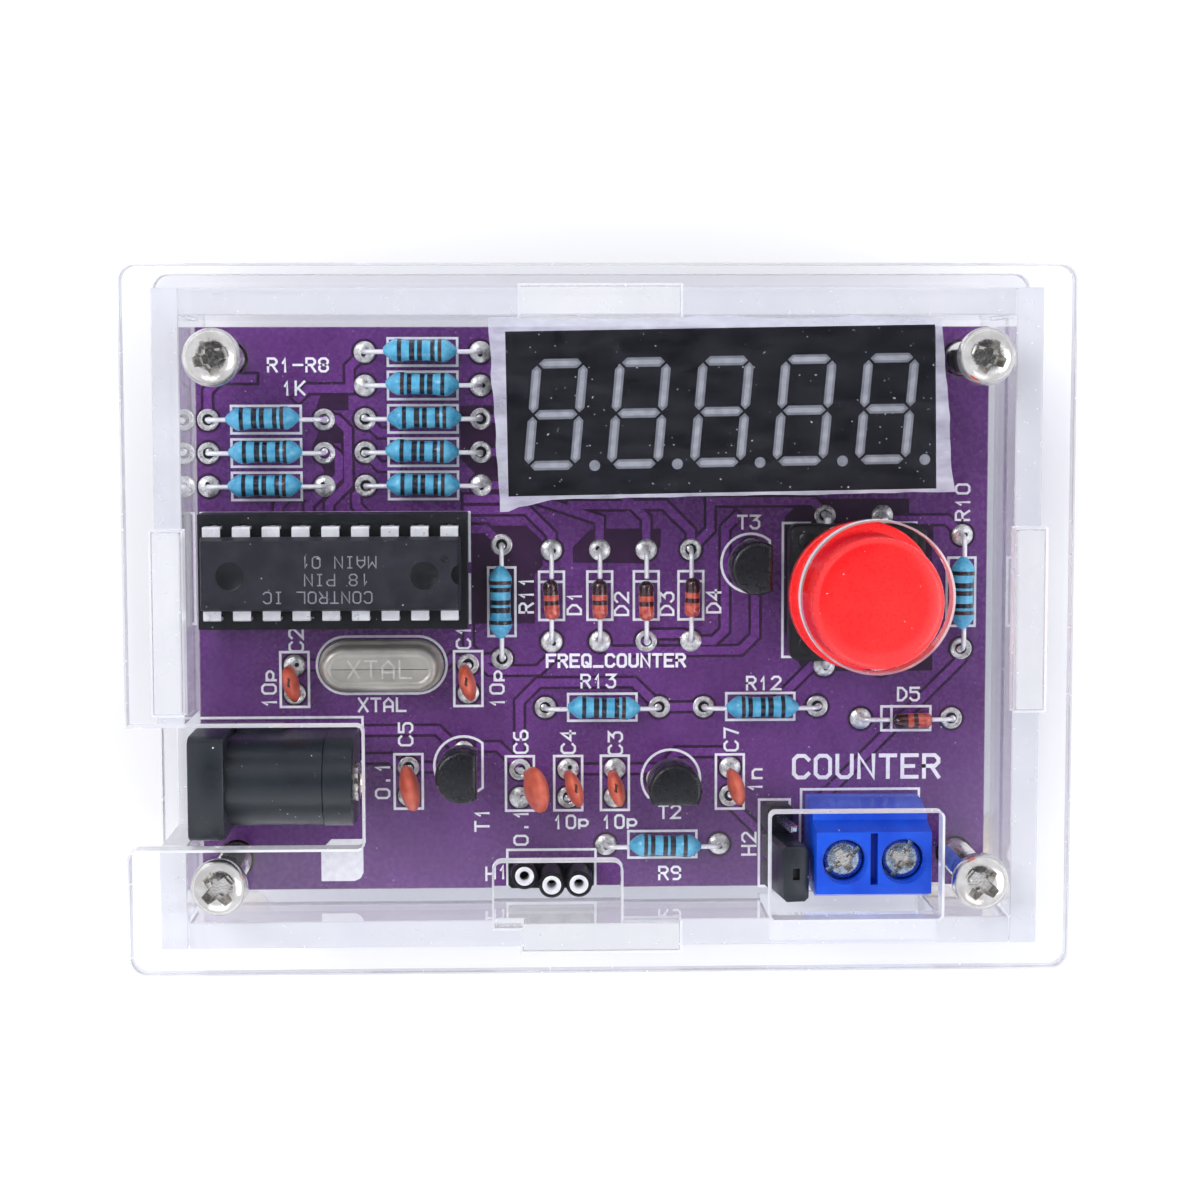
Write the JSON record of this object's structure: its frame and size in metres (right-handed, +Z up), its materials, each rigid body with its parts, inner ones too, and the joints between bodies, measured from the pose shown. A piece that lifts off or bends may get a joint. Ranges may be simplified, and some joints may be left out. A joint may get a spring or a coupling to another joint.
{
  "type": "frequency counter",
  "caption": "Pocket frequency counter kit: purple circuit board with a digit display, red push button and blue screw terminal in a clear tabbed case.",
  "frame": {"origin": "middle of the case, on the surface that the base screw heads stand on", "axes": "+X along the row of digits, power jack at -X; +Y from the terminals to the display; +Z up"},
  "size_m": [0.08, 0.06, 0.0269],
  "materials": {
    "clear_acrylic": "clear laser-cut sheet",
    "board_purple": "purple solder mask",
    "nickel": "nickel plate",
    "plated_steel": "zinc plate",
    "brass": "machined",
    "display_plastic": "near-black face with grey segments",
    "film": "hazy protective film",
    "red_plastic": "moulded",
    "blue_plastic": "moulded",
    "resistor_blue": "lacquer with dark bands",
    "capacitor_ceramic": "dipped resin",
    "crystal_can": "pressed can",
    "black_plastic": "moulded"
  },
  "bodies": {
    "case": {"back_wall": "clear_acrylic", "base_screw_1": "nickel", "base_screw_2": "nickel", "base_screw_3": "nickel", "base_screw_4": "nickel", "bottom_panel": "clear_acrylic", "capacitor_1": "capacitor_ceramic", "capacitor_2": "capacitor_ceramic", "capacitor_3": "capacitor_ceramic", "capacitor_4": "capacitor_ceramic", "capacitor_5": "capacitor_ceramic", "capacitor_6": "capacitor_ceramic", "capacitor_7": "capacitor_ceramic", "chip_socket": "black_plastic", "circuit_board": "board_purple", "crystal": "crystal_can", "digit_display": "display_plastic", "display_film": "film", "front_wall": "clear_acrylic", "key_switch": "black_plastic", "left_wall": "clear_acrylic", "microcontroller": "black_plastic", "pin_header": "black_plastic", "power_jack": "black_plastic", "resistor_1": "resistor_blue", "resistor_10": "resistor_blue", "resistor_11": "resistor_blue", "resistor_12": "resistor_blue", "resistor_13": "resistor_blue", "resistor_2": "resistor_blue", "resistor_3": "resistor_blue", "resistor_4": "resistor_blue", "resistor_5": "resistor_blue", "resistor_6": "resistor_blue", "resistor_7": "resistor_blue", "resistor_8": "resistor_blue", "resistor_9": "resistor_blue", "right_wall": "clear_acrylic", "socket_strip": "black_plastic", "standoff_1": "brass", "standoff_2": "brass", "standoff_3": "brass", "standoff_4": "brass", "terminal_block": "blue_plastic", "top_panel": "clear_acrylic", "top_screw_1": "nickel", "top_screw_2": "nickel", "top_screw_3": "nickel", "top_screw_4": "nickel", "transistor_1": "black_plastic", "transistor_2": "black_plastic", "transistor_3": "black_plastic"},
    "button": {"button_cap": "red_plastic", "switch_plunger": "black_plastic"},
    "terminal_screw_1": {"terminal_screw_1": "plated_steel"},
    "terminal_screw_2": {"terminal_screw_2": "plated_steel"},
    "wire_clamp_1": {"wire_clamp_1": "plated_steel"},
    "wire_clamp_2": {"wire_clamp_2": "plated_steel"},
    "jumper": {"jumper_cap": "black_plastic"}
  },
  "joints": [
    {"name": "button_press", "type": "slide", "parent": "case", "child": "button", "axis": [0, 0, -1], "range_m": [0, 0.0003], "stiffness_N_per_m": 2000, "springref_m": -0.0005},
    {"name": "terminal_screw_1_turn", "type": "hinge", "parent": "case", "child": "terminal_screw_1", "pos_m": [0.02106, -0.02105, 0.0199], "axis": [0, 0, -1], "range_deg": [0, 1080]},
    {"name": "wire_clamp_1_rise", "type": "slide", "parent": "case", "child": "wire_clamp_1", "axis": [0, 0, 1], "range_m": [0, 0.0015]},
    {"name": "terminal_screw_2_turn", "type": "hinge", "parent": "case", "child": "terminal_screw_2", "pos_m": [0.02614, -0.02105, 0.0199], "axis": [0, 0, -1], "range_deg": [0, 1080]},
    {"name": "wire_clamp_2_rise", "type": "slide", "parent": "case", "child": "wire_clamp_2", "axis": [0, 0, 1], "range_m": [0, 0.0015]},
    {"name": "jumper_pull", "type": "slide", "parent": "case", "child": "jumper", "axis": [0.1219, 0, 0.9925], "range_m": [0, 0.013]}
  ],
  "couplings": [
    {"joint": "terminal_screw_1_turn", "follows": "wire_clamp_1_rise", "rad_per_m": 12566},
    {"joint": "terminal_screw_2_turn", "follows": "wire_clamp_2_rise", "rad_per_m": 12566}
  ]
}
